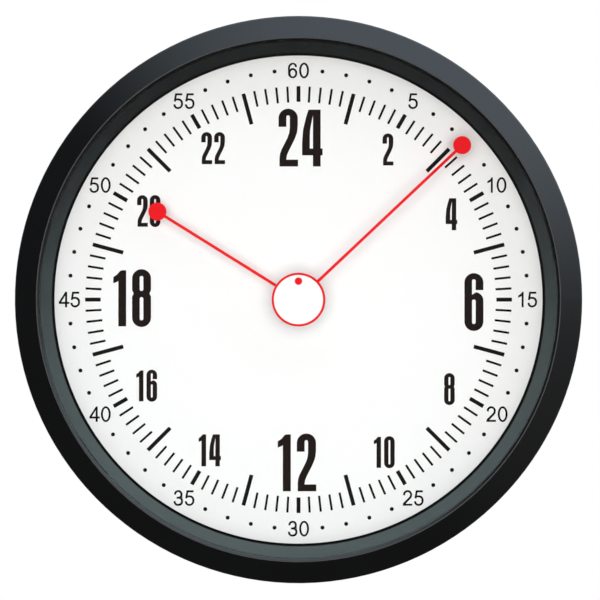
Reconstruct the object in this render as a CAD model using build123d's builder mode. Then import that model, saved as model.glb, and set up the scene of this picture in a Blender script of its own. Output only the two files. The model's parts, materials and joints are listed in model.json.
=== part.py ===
"""Round 24-hour wall clock with a battery quartz movement.

The clock hangs on a wall. The wall is the plane Y = 0 and the dial faces -Y, so that +Z is up.
The origin is where the hands' axis meets the wall. A height is a distance from the wall,
measured towards the reader. Millimetres and degrees.
"""

import os
from math import acos, cos, degrees, pi, radians, sin, sqrt, tan

from build123d import *

os.makedirs("parts", exist_ok=True)

# ---- driving dimensions -------------------------------------------------------------------

# Case
case_radius = 150.0  # outside of the front bezel
crest_radius = 138.1  # ridge where the bezel's cone ends
crest_height = 43.6
shoulder_height = 35.6  # where the cone meets the bezel's skirt
parting_height = 16.0  # joint between the bezel's skirt and the rear case
skirt_inner_radius = 147.6
lip_radius = 136.8  # edge of the lip that holds the glass
lip_underside = 42.0
rabbet_radius = 140.3  # pocket for the glass, behind the lip
floor_low, floor_high = 20.0, 22.2  # plate of the rear case that carries the dial
case_screw_circle = 141.6
case_screw_count = 6

# Glass, dial and inner ring
glass_radius = 140.0
glass_low, glass_high = 39.4, 41.4
dial_radius = 133.0
dial_high = 23.0
dial_window_radius = 130.0  # dial that shows inside the inner ring
ring_top_radius = 136.2

# Hands at rest, clockwise from 12
minute_angle = 46.67
hour_angle = 20 * 15 + minute_angle / 24
minute_reach = 119.1  # axis to the middle of the tip disc
hour_reach = 88.1
tip_radius = 4.8
blade_width = 1.6
hand_thickness = 0.4
hour_hand_low, minute_hand_low, seconds_disc_low = 28.6, 31.4, 34.4
seconds_disc_radius = 14.2
seconds_disc_thickness = 0.5

# Arbor stack: outer radii of the coaxial shaft and pipes
seconds_shaft_radius = 0.5
minute_pipe_bore, minute_pipe_radius = 0.6, 1.6
hour_pipe_bore, hour_pipe_radius = 1.7, 2.5
neck_bore, neck_radius = 2.6, 3.95
neck_top = 27.0
hour_pipe_top, minute_pipe_top, seconds_shaft_top = 29.4, 32.2, 35.4

# Movement box
box_half = 28.0
box_corner = 4.0
box_back, box_front = 3.2, 19.2
cover_low = 18.2
wall = 1.2
inside_back = box_back + wall
bay_low, bay_high = -26.8, -11.6  # battery bay, from bottom to top
bay_half_length = 25.9
lip = 0.4  # width of the ledges at the bay's mouth
middle_low, middle_high = 11.2, 12.0

# Battery, AA size
cell_radius = 7.1
cell_length = 49.2
nub_radius, nub_length = 2.7, 1.3

# Gear train. Modules are set by the two distances that the compound arbors share.
pressure_angle = 27.0
backlash = 0.04  # taken off each tooth, at its pitch line
rotor_teeth, idler_wheel_teeth, idler_pinion_teeth = 8, 48, 10
second_wheel_teeth, second_pinion_teeth = 50, 8
third_wheel_teeth, third_pinion_teeth = 64, 8
centre_wheel_teeth, cannon_teeth = 60, 12
minute_wheel_teeth, minute_pinion_teeth = 48, 10
hour_wheel_teeth, knob_teeth = 60, 12

train_module = 0.2
idler_module = 0.24
cannon_module = 0.3
third_distance = train_module * (second_pinion_teeth + third_wheel_teeth) / 2
idler_distance = idler_module * (second_wheel_teeth + idler_pinion_teeth) / 2
rotor_distance = train_module * (rotor_teeth + idler_wheel_teeth) / 2
minute_distance = cannon_module * (cannon_teeth + minute_wheel_teeth) / 2
knob_distance = cannon_module * (knob_teeth + minute_wheel_teeth) / 2
centre_module = 2 * third_distance / (third_pinion_teeth + centre_wheel_teeth)
hour_module = 2 * minute_distance / (minute_pinion_teeth + hour_wheel_teeth)

# Directions between the arbors, anticlockwise from +X as the reader sees the dial
third_direction = 205.0
idler_direction = 110.0
rotor_direction = 100.0
minute_direction = 40.0
knob_direction = -10.0


def at(start, direction, distance):
    """The point a distance away from start, as (x, z)."""
    return (
        start[0] + distance * cos(radians(direction)),
        start[1] + distance * sin(radians(direction)),
    )


arbor = (0.0, 0.0)
third_at = at(arbor, third_direction, third_distance)
idler_at = at(arbor, idler_direction, idler_distance)
rotor_at = at(idler_at, rotor_direction, rotor_distance)
minute_at = at(arbor, minute_direction, minute_distance)
knob_at = at(minute_at, knob_direction, knob_distance)


# ---- helpers ------------------------------------------------------------------------------

# Profiles of turned pieces: local X is the radius and local Y is the height above the wall.
SECTION = Plane(origin=(0, 0, 0), x_dir=(1, 0, 0), z_dir=(0, 0, -1))


def level(height, centre=arbor):
    """The plane parallel to the wall at a height, facing the reader."""
    return Plane(origin=(centre[0], -height, centre[1]), x_dir=(1, 0, 0), z_dir=(0, -1, 0))


def turned(*outline, mode=Mode.ADD):
    """Revolves an outline of (radius, height) points about the hands' axis."""
    with BuildSketch(SECTION) as profile:
        with BuildLine():
            Polyline(*outline, close=True)
        make_face()
    return revolve(profile.sketch, axis=Axis.Y, mode=mode)


def disc(radius, low, high, centre=arbor, mode=Mode.ADD):
    """A cylinder standing off the wall."""
    with BuildSketch(level(low, centre)) as face:
        Circle(radius)
    return extrude(face.sketch, amount=high - low, mode=mode)


def plate(width, depth, low, high, centre=arbor, corner=0.0, mode=Mode.ADD):
    """A rectangular plate parallel to the wall: width along X, depth along Z."""
    with BuildSketch(level(low, centre)) as face:
        if corner:
            RectangleRounded(width, depth, corner)
        else:
            Rectangle(width, depth)
    return extrude(face.sketch, amount=high - low, mode=mode)


def bar(x_range, z_range, low, high, mode=Mode.ADD):
    """A plate given by its edges along X and Z."""
    middle = ((x_range[0] + x_range[1]) / 2, (z_range[0] + z_range[1]) / 2)
    return plate(x_range[1] - x_range[0], z_range[1] - z_range[0], low, high, middle, mode=mode)


def involute(angle):
    return tan(angle) - angle


def gear(teeth, module, phase, low, high, centre=arbor, addendum=0.8, dedendum=1.1):
    """A spur gear with involute flanks. phase is the direction of one tooth."""
    pitch_radius = module * teeth / 2
    base_angle = radians(pressure_angle)
    base_radius = pitch_radius * cos(base_angle)
    half_at_pitch = pi / (2 * teeth) - backlash / (2 * pitch_radius)

    def half_tooth(radius):
        """Half of the tooth's angle at a radius."""
        angle = acos(min(1.0, base_radius / max(radius, base_radius)))
        return half_at_pitch + involute(base_angle) - involute(angle)

    root = pitch_radius - dedendum * module
    tip = pitch_radius + addendum * module
    flank = [root, max(base_radius, (root + pitch_radius) / 2), pitch_radius, (pitch_radius + tip) / 2, tip]
    outline = []
    for tooth in range(teeth):
        middle = radians(phase) + 2 * pi * tooth / teeth
        outline += [(r, middle - half_tooth(r)) for r in flank]
        outline += [(r, middle + half_tooth(r)) for r in reversed(flank)]
    with BuildSketch(level(low, centre)) as face:
        with BuildLine():
            Polyline(*[(r * cos(a), r * sin(a)) for r, a in outline], close=True)
        make_face()
    return extrude(face.sketch, amount=high - low)


def mesh_phase(phase, teeth, direction, other_teeth):
    """The phase of a gear that meshes with another, which stands the other way along direction."""
    return direction + 180 + (180 - (phase - direction) * teeth) / other_teeth


def finish(part, name):
    part.label = name
    export_step(part, f"parts/{name}.step")


# ---- case ---------------------------------------------------------------------------------

bezel_bottom = parting_height
boss_radius = 3.2
boss_top = 36.9
screw_shank_radius = 1.5
screw_reach = 31.0
screw_places = PolarLocations(case_screw_circle, case_screw_count, start_angle=60)

with BuildPart() as front_bezel:
    turned(
        (case_radius, bezel_bottom),
        (case_radius, shoulder_height),
        (crest_radius, crest_height),
        (lip_radius, lip_underside + 0.5),
        (lip_radius, lip_underside),
        (rabbet_radius, lip_underside),
        (rabbet_radius, 37.4),
        (skirt_inner_radius, 33.2),
        (skirt_inner_radius, bezel_bottom),
    )
    circles = front_bezel.edges().filter_by(GeomType.CIRCLE)
    shoulder = circles.filter_by(lambda e: abs(e.radius - case_radius) < 0.01).sort_by(Axis.Y)[0]
    fillet(shoulder, 1.6)
    crest = front_bezel.edges().filter_by(GeomType.CIRCLE).sort_by(Axis.Y)[0]
    fillet(crest, 0.6)
    # Bosses that take the case screws
    with BuildSketch(level(floor_high)) as boss_faces:
        with screw_places:
            Circle(boss_radius)
    extrude(boss_faces.sketch, amount=boss_top - floor_high)
    with BuildSketch(level(floor_high)) as pilot_faces:
        with screw_places:
            Circle(screw_shank_radius)
    extrude(pilot_faces.sketch, amount=screw_reach + 2 - floor_high, mode=Mode.SUBTRACT)
finish(front_bezel.part, "front_bezel")

frame_inner, frame_outer, frame_low = 29.2, 30.8, 13.0
rib_low = 16.6
hanger_boss_places = ((-14.0, 118.0), (14.0, 118.0))
hanger_low, hanger_high = 1.4, 2.6

with BuildPart() as rear_case:
    turned(
        (144.0, 0.0),
        (146.6, 0.0),
        (149.4, parting_height - 0.2),
        (147.3, parting_height - 0.2),
        (147.3, floor_high),
        (134.7, floor_high),
        (134.7, floor_high + 0.7),
        (133.3, floor_high + 0.7),
        (133.3, floor_high),
        (4.15, floor_high),
        (4.15, floor_low),
        (144.6, floor_low),
        (144.6, 17.0),
        (146.2, 13.0),
    )
    # Square frame that locates the movement
    with BuildSketch(level(frame_low)) as frame_face:
        Rectangle(2 * frame_outer, 2 * frame_outer)
        Rectangle(2 * frame_inner, 2 * frame_inner, mode=Mode.SUBTRACT)
    extrude(frame_face.sketch, amount=floor_low - frame_low)
    # Radial ribs that stiffen the floor
    rib_start, rib_end = 44.0, 144.8
    with BuildSketch(level(rib_low)) as rib_faces:
        with PolarLocations((rib_start + rib_end) / 2, 8, start_angle=22.5):
            Rectangle(rib_end - rib_start, 1.8)
    extrude(rib_faces.sketch, amount=floor_low - rib_low)
    # Bosses for the hanger plate
    for place in hanger_boss_places:
        disc(4.2, hanger_high, floor_low, place)
        disc(1.5, hanger_high, 9.0, place, mode=Mode.SUBTRACT)
    # Clearance holes for the case screws
    with BuildSketch(level(floor_low)) as hole_faces:
        with screw_places:
            Circle(screw_shank_radius + 0.2)
    extrude(hole_faces.sketch, amount=floor_high - floor_low, mode=Mode.SUBTRACT)
finish(rear_case.part, "rear_case")

with BuildPart() as bezel_screws:
    head_radius, head_height = 2.8, 1.8
    with BuildSketch(level(floor_low - head_height)) as heads:
        with screw_places:
            Circle(head_radius)
    extrude(heads.sketch, amount=head_height)
    with BuildSketch(level(floor_low)) as shanks:
        with screw_places:
            Circle(screw_shank_radius)
    extrude(shanks.sketch, amount=screw_reach - floor_low)
    # Cross recesses
    with BuildSketch(level(floor_low - head_height)) as slots:
        with screw_places:
            Rectangle(3.0, 0.7)
            Rectangle(0.7, 3.0)
    extrude(slots.sketch, amount=1.0, mode=Mode.SUBTRACT)
finish(bezel_screws.part, "bezel_screws")

with BuildPart() as inner_ring:
    turned(
        (dial_window_radius, dial_high),
        (ring_top_radius, 39.0),
        (ring_top_radius, glass_low),
        (139.6, glass_low),
        (139.6, 38.2),
        (138.2, 37.6),
        (132.4, 24.4),
        (136.0, 24.4),
        (136.0, dial_high),
    )
finish(inner_ring.part, "inner_ring")

with BuildPart() as lens:
    turned((0, glass_low), (glass_radius, glass_low), (glass_radius, glass_high), (0, glass_high))
    chamfer(lens.edges().filter_by(GeomType.CIRCLE), 0.3)
finish(lens.part, "lens")

with BuildPart() as lens_gasket:
    turned(
        (137.4, glass_high),
        (glass_radius - 0.4, glass_high),
        (glass_radius - 0.4, lip_underside),
        (137.4, lip_underside),
    )
finish(lens_gasket.part, "lens_gasket")

with BuildPart() as dial_plate:
    turned((4.15, floor_high), (dial_radius, floor_high), (dial_radius, dial_high), (4.15, dial_high))
finish(dial_plate.part, "dial_plate")

# ---- hanger -------------------------------------------------------------------------------

keyhole_entry = (0.0, 112.0)
keyhole_radius, keyhole_slot_width, keyhole_top = 4.5, 4.6, 122.0

with BuildPart() as hanger_plate:
    plate(42, 28, hanger_low, hanger_high, (0, 117), corner=4)
    disc(keyhole_radius, hanger_low, hanger_high, keyhole_entry, mode=Mode.SUBTRACT)
    slot_end = keyhole_top - keyhole_slot_width / 2
    bar(
        (-keyhole_slot_width / 2, keyhole_slot_width / 2),
        (keyhole_entry[1], slot_end),
        hanger_low,
        hanger_high,
        mode=Mode.SUBTRACT,
    )
    disc(keyhole_slot_width / 2, hanger_low, hanger_high, (0, slot_end), mode=Mode.SUBTRACT)
    for place in hanger_boss_places:
        disc(1.6, hanger_low, hanger_high, place, mode=Mode.SUBTRACT)
finish(hanger_plate.part, "hanger_plate")

with BuildPart() as hanger_screws:
    for place in hanger_boss_places:
        disc(3.0, 0.2, hanger_low, place)
        disc(1.5, hanger_low, 8.4, place)
        for width, depth in ((3.2, 0.7), (0.7, 3.2)):
            plate(width, depth, 0.2, 0.9, place, mode=Mode.SUBTRACT)
finish(hanger_screws.part, "hanger_screws")

# ---- hands --------------------------------------------------------------------------------


def hand(angle, reach, low, hub_radius, bore_radius):
    """A stamped hand: round hub, straight blade and a disc at its tip, in one thin sheet."""
    direction = 90 - angle
    with BuildSketch(level(low)) as face:
        Circle(hub_radius)
        with Locations(Rotation(0, 0, direction)):
            with Locations((reach / 2, 0)):
                Rectangle(reach, blade_width)
            with Locations((reach, 0)):
                Circle(tip_radius)
        Circle(bore_radius, mode=Mode.SUBTRACT)
    extrude(face.sketch, amount=hand_thickness)


hour_hub_radius, minute_hub_radius = 5.5, 4.5

with BuildPart() as hour_hand:
    hand(hour_angle, hour_reach, hour_hand_low, hour_hub_radius, hour_pipe_radius + 0.5)
finish(hour_hand.part, "hour_hand")

with BuildPart() as hour_hand_collet:
    turned(
        (hour_pipe_radius, 27.4),
        (3.4, 27.4),
        (3.4, hour_hand_low),
        (hour_pipe_radius + 0.5, hour_hand_low),
        (hour_pipe_radius + 0.5, hour_hand_low + hand_thickness),
        (3.2, hour_hand_low + hand_thickness),
        (3.2, 29.2),
        (hour_pipe_radius, 29.2),
    )
finish(hour_hand_collet.part, "hour_hand_collet")

with BuildPart() as minute_hand:
    hand(minute_angle, minute_reach, minute_hand_low, minute_hub_radius, minute_pipe_radius + 0.5)
finish(minute_hand.part, "minute_hand")

with BuildPart() as minute_hand_bush:
    turned(
        (minute_pipe_radius, 30.2),
        (2.9, 30.2),
        (2.9, minute_hand_low),
        (minute_pipe_radius + 0.5, minute_hand_low),
        (minute_pipe_radius + 0.5, minute_hand_low + hand_thickness),
        (2.6, minute_hand_low + hand_thickness),
        (2.6, 32.0),
        (minute_pipe_radius, 32.0),
    )
finish(minute_hand_bush.part, "minute_hand_bush")

with BuildPart() as seconds_disc:
    disc(seconds_disc_radius, seconds_disc_low, seconds_disc_low + seconds_disc_thickness)
    fillet(seconds_disc.edges().filter_by(GeomType.CIRCLE), 0.15)
    disc(1.0, seconds_disc_low, 33.0 + 2, mode=Mode.SUBTRACT)
finish(seconds_disc.part, "seconds_disc")

with BuildPart() as seconds_disc_tube:
    turned(
        (seconds_shaft_radius, 32.7),
        (1.4, 32.7),
        (1.4, seconds_disc_low),
        (1.0, seconds_disc_low),
        (1.0, seconds_disc_low + seconds_disc_thickness),
        (0.0, seconds_disc_low + seconds_disc_thickness),
        (0.0, seconds_disc_low + 0.2),
        (seconds_shaft_radius, seconds_disc_low + 0.2),
    )
finish(seconds_disc_tube.part, "seconds_disc_tube")

# ---- fastening of the movement --------------------------------------------------------------

washer_high, nut_high = 23.5, 26.0

with BuildPart() as rubber_washer:
    turned((4.15, box_front), (12.0, box_front), (12.0, floor_low), (4.15, floor_low))
finish(rubber_washer.part, "rubber_washer")

with BuildPart() as brass_washer:
    turned((4.15, dial_high), (7.5, dial_high), (7.5, washer_high), (4.15, washer_high))
finish(brass_washer.part, "brass_washer")

with BuildPart() as hex_nut:
    with BuildSketch(level(washer_high)) as nut_face:
        RegularPolygon(6.0, 6, major_radius=False)
        Circle(neck_radius, mode=Mode.SUBTRACT)
    extrude(nut_face.sketch, amount=nut_high - washer_high)
finish(hex_nut.part, "hex_nut")

with BuildPart() as threaded_neck:
    turned(
        (neck_bore, 17.4),
        (6.4, 17.4),
        (6.4, cover_low),
        (neck_radius, cover_low),
        (neck_radius, neck_top - 0.4),
        (neck_radius - 0.4, neck_top),
        (neck_bore, neck_top),
    )
finish(threaded_neck.part, "threaded_neck")

# ---- movement box ---------------------------------------------------------------------------

knob_hole_radius = 1.45
board_low, board_high = 5.2, 6.0
train_posts = ((-11.8, 6.2), (11.0, -6.4), (20.6, 13.0))  # posts that carry the middle plate
pivot_depth = 0.5

with BuildPart() as movement_cover:
    plate(2 * box_half, 2 * box_half, cover_low, box_front, corner=box_corner)
    disc(neck_radius + 0.05, cover_low, box_front, mode=Mode.SUBTRACT)
finish(movement_cover.part, "movement_cover")

with BuildPart() as movement_box:
    plate(2 * box_half, 2 * box_half, box_back, cover_low, corner=box_corner)
    inner_half = box_half - wall
    bar((-inner_half, inner_half), (bay_high + wall, inner_half), inside_back, cover_low, mode=Mode.SUBTRACT)
    bar((-bay_half_length, bay_half_length), (bay_low, bay_high), box_back, cover_low, mode=Mode.SUBTRACT)
    # Slots through the partition for the contacts' strips
    for x_range in ((-bay_half_length, -25.5), (25.5, bay_half_length)):
        bar(x_range, (bay_high, bay_high + wall), board_high - 0.1, 9.1, mode=Mode.SUBTRACT)
    # Lips that keep the cell from falling out of the back
    for side in (-1, 1):
        bar(sorted((side * 8, side * 16)), (bay_high - lip, bay_high), box_back, box_back + 0.5)
        bar(sorted((side * 8, side * 16)), (bay_low, bay_low + lip), box_back, box_back + 0.5)
    # Posts and bearing bosses
    for place in train_posts:
        disc(1.8, inside_back, middle_low, place)
        disc(0.9, middle_low, middle_high, place)
    for place, top in ((arbor, 5.4), (third_at, 5.8), (idler_at, 4.8), (rotor_at, 4.8)):
        disc(1.3, inside_back, top, place)
        disc(0.35, top - pivot_depth, top, place, mode=Mode.SUBTRACT)
    # Stator posts
    for x in (-11.6, 5.6):
        disc(1.9, inside_back, 7.8, (x, 21.0))
        disc(0.9, inside_back + 0.6, 7.8, (x, 21.0), mode=Mode.SUBTRACT)
    # Hole for the setting knob's shaft
    disc(knob_hole_radius, box_back, inside_back, knob_at, mode=Mode.SUBTRACT)
finish(movement_box.part, "movement_box")

with BuildPart() as middle_plate:
    with BuildSketch(level(middle_low)) as bridge:
        with BuildLine():
            Polyline(
                (-14.0, -5.0),
                (-6.0, -9.6),
                (13.5, -9.6),
                (24.0, 8.0),
                (24.0, 15.5),
                (-3.0, 15.5),
                (-14.0, 8.5),
                close=True,
            )
        make_face()
    extrude(bridge.sketch, amount=middle_high - middle_low)
    for place in train_posts:
        disc(0.9, middle_low, middle_high, place, mode=Mode.SUBTRACT)
    for place in (third_at, idler_at, rotor_at):
        disc(0.35, middle_low, middle_high, place, mode=Mode.SUBTRACT)
    disc(2.6, middle_low, middle_high, arbor, mode=Mode.SUBTRACT)
    disc(knob_hole_radius, middle_low, middle_high, knob_at, mode=Mode.SUBTRACT)
    # Stud on which the minute wheel turns
    disc(0.7, middle_high, 17.6, minute_at)
finish(middle_plate.part, "middle_plate")

# ---- gear train -----------------------------------------------------------------------------

centre_phase = 0.0
cannon_phase = 0.0
third_pinion_phase = mesh_phase(centre_phase, centre_wheel_teeth, third_direction, third_pinion_teeth)
third_phase = 0.0
second_pinion_phase = mesh_phase(third_phase, third_wheel_teeth, third_direction + 180, second_pinion_teeth)
second_phase = 0.0
idler_pinion_phase = mesh_phase(second_phase, second_wheel_teeth, idler_direction, idler_pinion_teeth)
idler_phase = 0.0
rotor_phase = mesh_phase(idler_phase, idler_wheel_teeth, rotor_direction, rotor_teeth)
minute_phase = mesh_phase(cannon_phase, cannon_teeth, minute_direction, minute_wheel_teeth)
minute_pinion_phase = 0.0
hour_phase = mesh_phase(
    minute_pinion_phase, minute_pinion_teeth, minute_direction + 180, hour_wheel_teeth
)
knob_phase = mesh_phase(minute_phase, minute_wheel_teeth, knob_direction, knob_teeth)

pivot_radius = 0.3
clutch_gap = 0.05

with BuildPart() as rotor_pinion:
    disc(pivot_radius, 4.4, 4.9, rotor_at)
    gear(rotor_teeth, train_module, rotor_phase, 4.9, 5.9, rotor_at)
    disc(0.5, 5.9, 10.9, rotor_at)
    disc(pivot_radius, 10.9, 11.8, rotor_at)
finish(rotor_pinion.part, "rotor_pinion")

with BuildPart() as rotor_magnet:
    disc(2.6, 7.0, 9.4, rotor_at)
    disc(0.5, 7.0, 9.4, rotor_at, mode=Mode.SUBTRACT)
finish(rotor_magnet.part, "rotor_magnet")

with BuildPart() as idler_wheel:
    disc(pivot_radius, 4.4, 4.9, idler_at)
    gear(idler_wheel_teeth, train_module, idler_phase, 4.9, 5.6, idler_at)
    gear(idler_pinion_teeth, idler_module, idler_pinion_phase, 5.6, 7.2, idler_at)
    disc(0.45, 7.2, 11.0, idler_at)
    disc(pivot_radius, 11.0, 11.8, idler_at)
finish(idler_wheel.part, "idler_wheel")

with BuildPart() as second_wheel:
    disc(0.9, 5.6, 6.1, arbor)
    gear(second_wheel_teeth, idler_module, second_phase, 6.1, 6.8)
    gear(second_pinion_teeth, train_module, second_pinion_phase, 6.8, 8.6)
    disc(seconds_shaft_radius, 5.6, 8.6, mode=Mode.SUBTRACT)
finish(second_wheel.part, "second_wheel")

with BuildPart() as seconds_shaft:
    disc(pivot_radius, 5.0, 5.6)
    disc(seconds_shaft_radius, 5.6, seconds_disc_low + 0.2)
finish(seconds_shaft.part, "seconds_shaft")

with BuildPart() as third_wheel:
    disc(pivot_radius, 5.4, 6.8, third_at)
    disc(0.6, 6.8, 7.5, third_at)
    gear(third_wheel_teeth, train_module, third_phase, 7.5, 8.2, third_at)
    gear(third_pinion_teeth, centre_module, third_pinion_phase, 8.2, 10.4, third_at)
    disc(0.4, 10.4, 11.0, third_at)
    disc(pivot_radius, 11.0, 11.8, third_at)
finish(third_wheel.part, "third_wheel")

# The centre wheel slips on the minute pipe when the hands are set; a spring washer grips it
with BuildPart() as centre_wheel:
    gear(centre_wheel_teeth, centre_module, centre_phase, 9.4, 10.2)
    disc(minute_pipe_radius + clutch_gap, 9.4, 10.2, mode=Mode.SUBTRACT)
finish(centre_wheel.part, "centre_wheel")

with BuildPart() as clutch_spring:
    with BuildSketch(level(10.2 + clutch_gap)) as star:
        Circle(3.0)
        with PolarLocations(3.2, 3, start_angle=30):
            Circle(0.9, mode=Mode.SUBTRACT)
        Circle(minute_pipe_radius, mode=Mode.SUBTRACT)
    extrude(star.sketch, amount=0.2)
finish(clutch_spring.part, "clutch_spring")

with BuildPart() as minute_pipe:
    disc(2.4, 8.9, 9.4 - clutch_gap)
    disc(minute_pipe_radius, 9.4 - clutch_gap, 10.4 + clutch_gap)
    disc(2.2, 10.4 + clutch_gap, 12.4)
    gear(cannon_teeth, cannon_module, cannon_phase, 12.4, 14.0)
    disc(minute_pipe_radius, 14.0, minute_pipe_top)
    disc(minute_pipe_bore, 8.9, minute_pipe_top, mode=Mode.SUBTRACT)
finish(minute_pipe.part, "minute_pipe")

with BuildPart() as minute_wheel:
    disc(1.5, 12.2, 12.6, minute_at)
    gear(minute_wheel_teeth, cannon_module, minute_phase, 12.6, 13.4, minute_at)
    gear(minute_pinion_teeth, hour_module, minute_pinion_phase, 13.4, 17.0, minute_at)
    disc(0.75, 12.2, 17.0, minute_at, mode=Mode.SUBTRACT)
finish(minute_wheel.part, "minute_wheel")

with BuildPart() as hour_wheel:
    gear(hour_wheel_teeth, hour_module, hour_phase, 15.4, 16.2)
    disc(3.4, 14.4, 15.4)
    disc(hour_pipe_radius, 16.2, hour_pipe_top)
    disc(hour_pipe_bore, 14.4, hour_pipe_top, mode=Mode.SUBTRACT)
finish(hour_wheel.part, "hour_wheel")

with BuildPart() as setting_knob:
    knob_radius, grip_count = 6.4, 24
    disc(knob_radius, 1.2, 3.0, knob_at)
    with BuildSketch(level(1.2, knob_at)) as grips:
        with PolarLocations(knob_radius, grip_count):
            Circle(0.45)
    extrude(grips.sketch, amount=1.8, mode=Mode.SUBTRACT)
    disc(1.4, 3.0, 12.4, knob_at)
    gear(knob_teeth, cannon_module, knob_phase, 12.4, 13.6, knob_at)
    disc(0.8, 13.6, 17.6, knob_at)
finish(setting_knob.part, "setting_knob")

# ---- motor and electronics --------------------------------------------------------------------

coil_left, coil_right, coil_z = -9.3, 3.3, 21.0
core_low, core_high = 8.6, 9.4
core_centre = (core_low + core_high) / 2


def lengthwise(x, centre_z, centre_height):
    """The plane across the movement at x, facing +X, with local Y towards the reader."""
    return Plane(origin=(x, -centre_height, centre_z), x_dir=(0, 0, 1), z_dir=(1, 0, 0))


with BuildPart() as stator:
    with BuildSketch(level(7.8)) as stator_face:
        with BuildLine():
            Polyline(
                (-13.5, 23.0),
                (-13.5, 9.8),
                (-12.1, 8.4),
                (6.1, 8.4),
                (7.5, 9.8),
                (7.5, 23.0),
                (3.7, 23.0),
                (3.7, 16.4),
                (-9.7, 16.4),
                (-9.7, 23.0),
                close=True,
            )
        make_face()
        with Locations(rotor_at):
            Circle(3.1, mode=Mode.SUBTRACT)
        for x in (-11.6, 5.6):
            with Locations((x, coil_z)):
                Circle(0.9, mode=Mode.SUBTRACT)
    extrude(stator_face.sketch, amount=core_low - 7.8)
finish(stator.part, "stator")

with BuildPart() as coil_core:
    bar((-13.5, 7.5), (coil_z - 1.6, coil_z + 1.6), core_low, core_high)
    for x in (-11.6, 5.6):
        disc(0.9, core_low, core_high, (x, coil_z), mode=Mode.SUBTRACT)
finish(coil_core.part, "coil_core")

with BuildPart() as coil_bobbin:
    flange = 0.7
    with BuildSketch(lengthwise(coil_left, coil_z, core_centre)) as left_flange:
        Circle(3.7)
    extrude(left_flange.sketch, amount=flange)
    with BuildSketch(lengthwise(coil_left, coil_z, core_centre)) as tube:
        Circle(2.1)
    extrude(tube.sketch, amount=coil_right - coil_left)
    with BuildSketch(lengthwise(coil_right - flange, coil_z, core_centre)) as right_flange:
        Circle(3.7)
    extrude(right_flange.sketch, amount=flange)
    bar((coil_left, coil_right), (coil_z - 1.6, coil_z + 1.6), core_low, core_high, mode=Mode.SUBTRACT)
finish(coil_bobbin.part, "coil_bobbin")

with BuildPart() as coil_winding:
    with BuildSketch(lengthwise(coil_left + flange, coil_z, core_centre)) as winding:
        Circle(3.3)
        Circle(2.1, mode=Mode.SUBTRACT)
    extrude(winding.sketch, amount=coil_right - coil_left - 2 * flange)
finish(coil_winding.part, "coil_winding")

with BuildPart() as coil_screws:
    for x in (-11.6, 5.6):
        disc(0.9, 5.6, core_high, (x, coil_z))
        disc(1.6, core_high, 10.4, (x, coil_z))
        plate(2.0, 0.5, 10.0, 10.4, (x, coil_z), mode=Mode.SUBTRACT)
finish(coil_screws.part, "coil_screws")

board_x = (-26.0, -14.6)
board_z = (-9.6, 15.0)

with BuildPart() as circuit_board:
    bar(board_x, board_z, board_low, board_high)
    for place in ((-23.6, -7.2), (-17.0, 12.6)):
        disc(0.9, board_low, board_high, place, mode=Mode.SUBTRACT)
finish(circuit_board.part, "circuit_board")

with BuildPart() as board_pegs:
    for place in ((-23.6, -7.2), (-17.0, 12.6)):
        disc(1.6, inside_back, board_low, place)
        disc(0.9, board_low, board_high, place)
        disc(1.5, board_high, board_high + 0.7, place)
finish(board_pegs.part, "board_pegs")

with BuildPart() as quartz_crystal:
    crystal = Plane(origin=(-17.2, -(board_high + 1.05), -3.0), x_dir=(1, 0, 0), z_dir=(0, 0, 1))
    with BuildSketch(crystal) as can:
        Circle(1.05)
    extrude(can.sketch, amount=6.2)
finish(quartz_crystal.part, "quartz_crystal")

with BuildPart() as chip_cover:
    disc(3.0, board_high, board_high + 1.0, (-22.0, 3.0))
    fillet(chip_cover.edges().filter_by(GeomType.CIRCLE).sort_by(Axis.Y)[0], 0.8)
finish(chip_cover.part, "chip_cover")

# ---- battery and contacts ---------------------------------------------------------------------

cell_height = cover_low - 0.15 - cell_radius
cell_z = (bay_low + bay_high) / 2
cell_left = -24.9

with BuildPart() as battery:
    with BuildSketch(lengthwise(cell_left, cell_z, cell_height)) as can_end:
        Circle(cell_radius)
    extrude(can_end.sketch, amount=cell_length)
    fillet(battery.edges().filter_by(GeomType.CIRCLE), 0.6)
    with BuildSketch(lengthwise(cell_left + cell_length, cell_z, cell_height)) as nub:
        Circle(nub_radius)
    extrude(nub.sketch, amount=nub_length)
finish(battery.part, "battery")

contact = 0.3
nub_end = cell_left + cell_length + nub_length

with BuildPart() as positive_contact:
    strip_low, strip_high = board_high, 8.0
    strip_z = bay_high + wall
    bar((nub_end, nub_end + contact), (cell_z - 5, cell_z + 5), 5.0, 17.0)
    bar((nub_end, nub_end + contact), (cell_z + 5, strip_z + contact), strip_low, strip_high)
    bar((-16.0, nub_end + contact), (strip_z, strip_z + contact), strip_low, strip_high)
    bar((-16.0, -15.0), (strip_z + contact, -8.4), strip_low, strip_low + contact)
finish(positive_contact.part, "positive_contact")

with BuildPart() as negative_contact:
    # Leaf spring: a flat back with a tongue bent towards the cell
    with BuildSketch(Plane(origin=(0, 0, cell_z - 4), x_dir=(1, 0, 0), z_dir=(0, 0, -1))) as leaf:
        with BuildLine():
            Polyline(
                (-bay_half_length, 5.0),
                (-bay_half_length + contact, 5.0),
                (-bay_half_length + contact, 14.4),
                (cell_left - contact, 11.6),
                (cell_left - contact, 9.0),
                (cell_left, 9.0),
                (cell_left, 11.7),
                (-bay_half_length + contact, 16.6),
                (-bay_half_length, 16.6),
                close=True,
            )
        make_face()
    extrude(leaf.sketch, amount=-8)
    # Strip to the board
    bar((-bay_half_length, -bay_half_length + contact), (cell_z + 4, -8.2), board_high, 9.0)
finish(negative_contact.part, "negative_contact")
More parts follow.
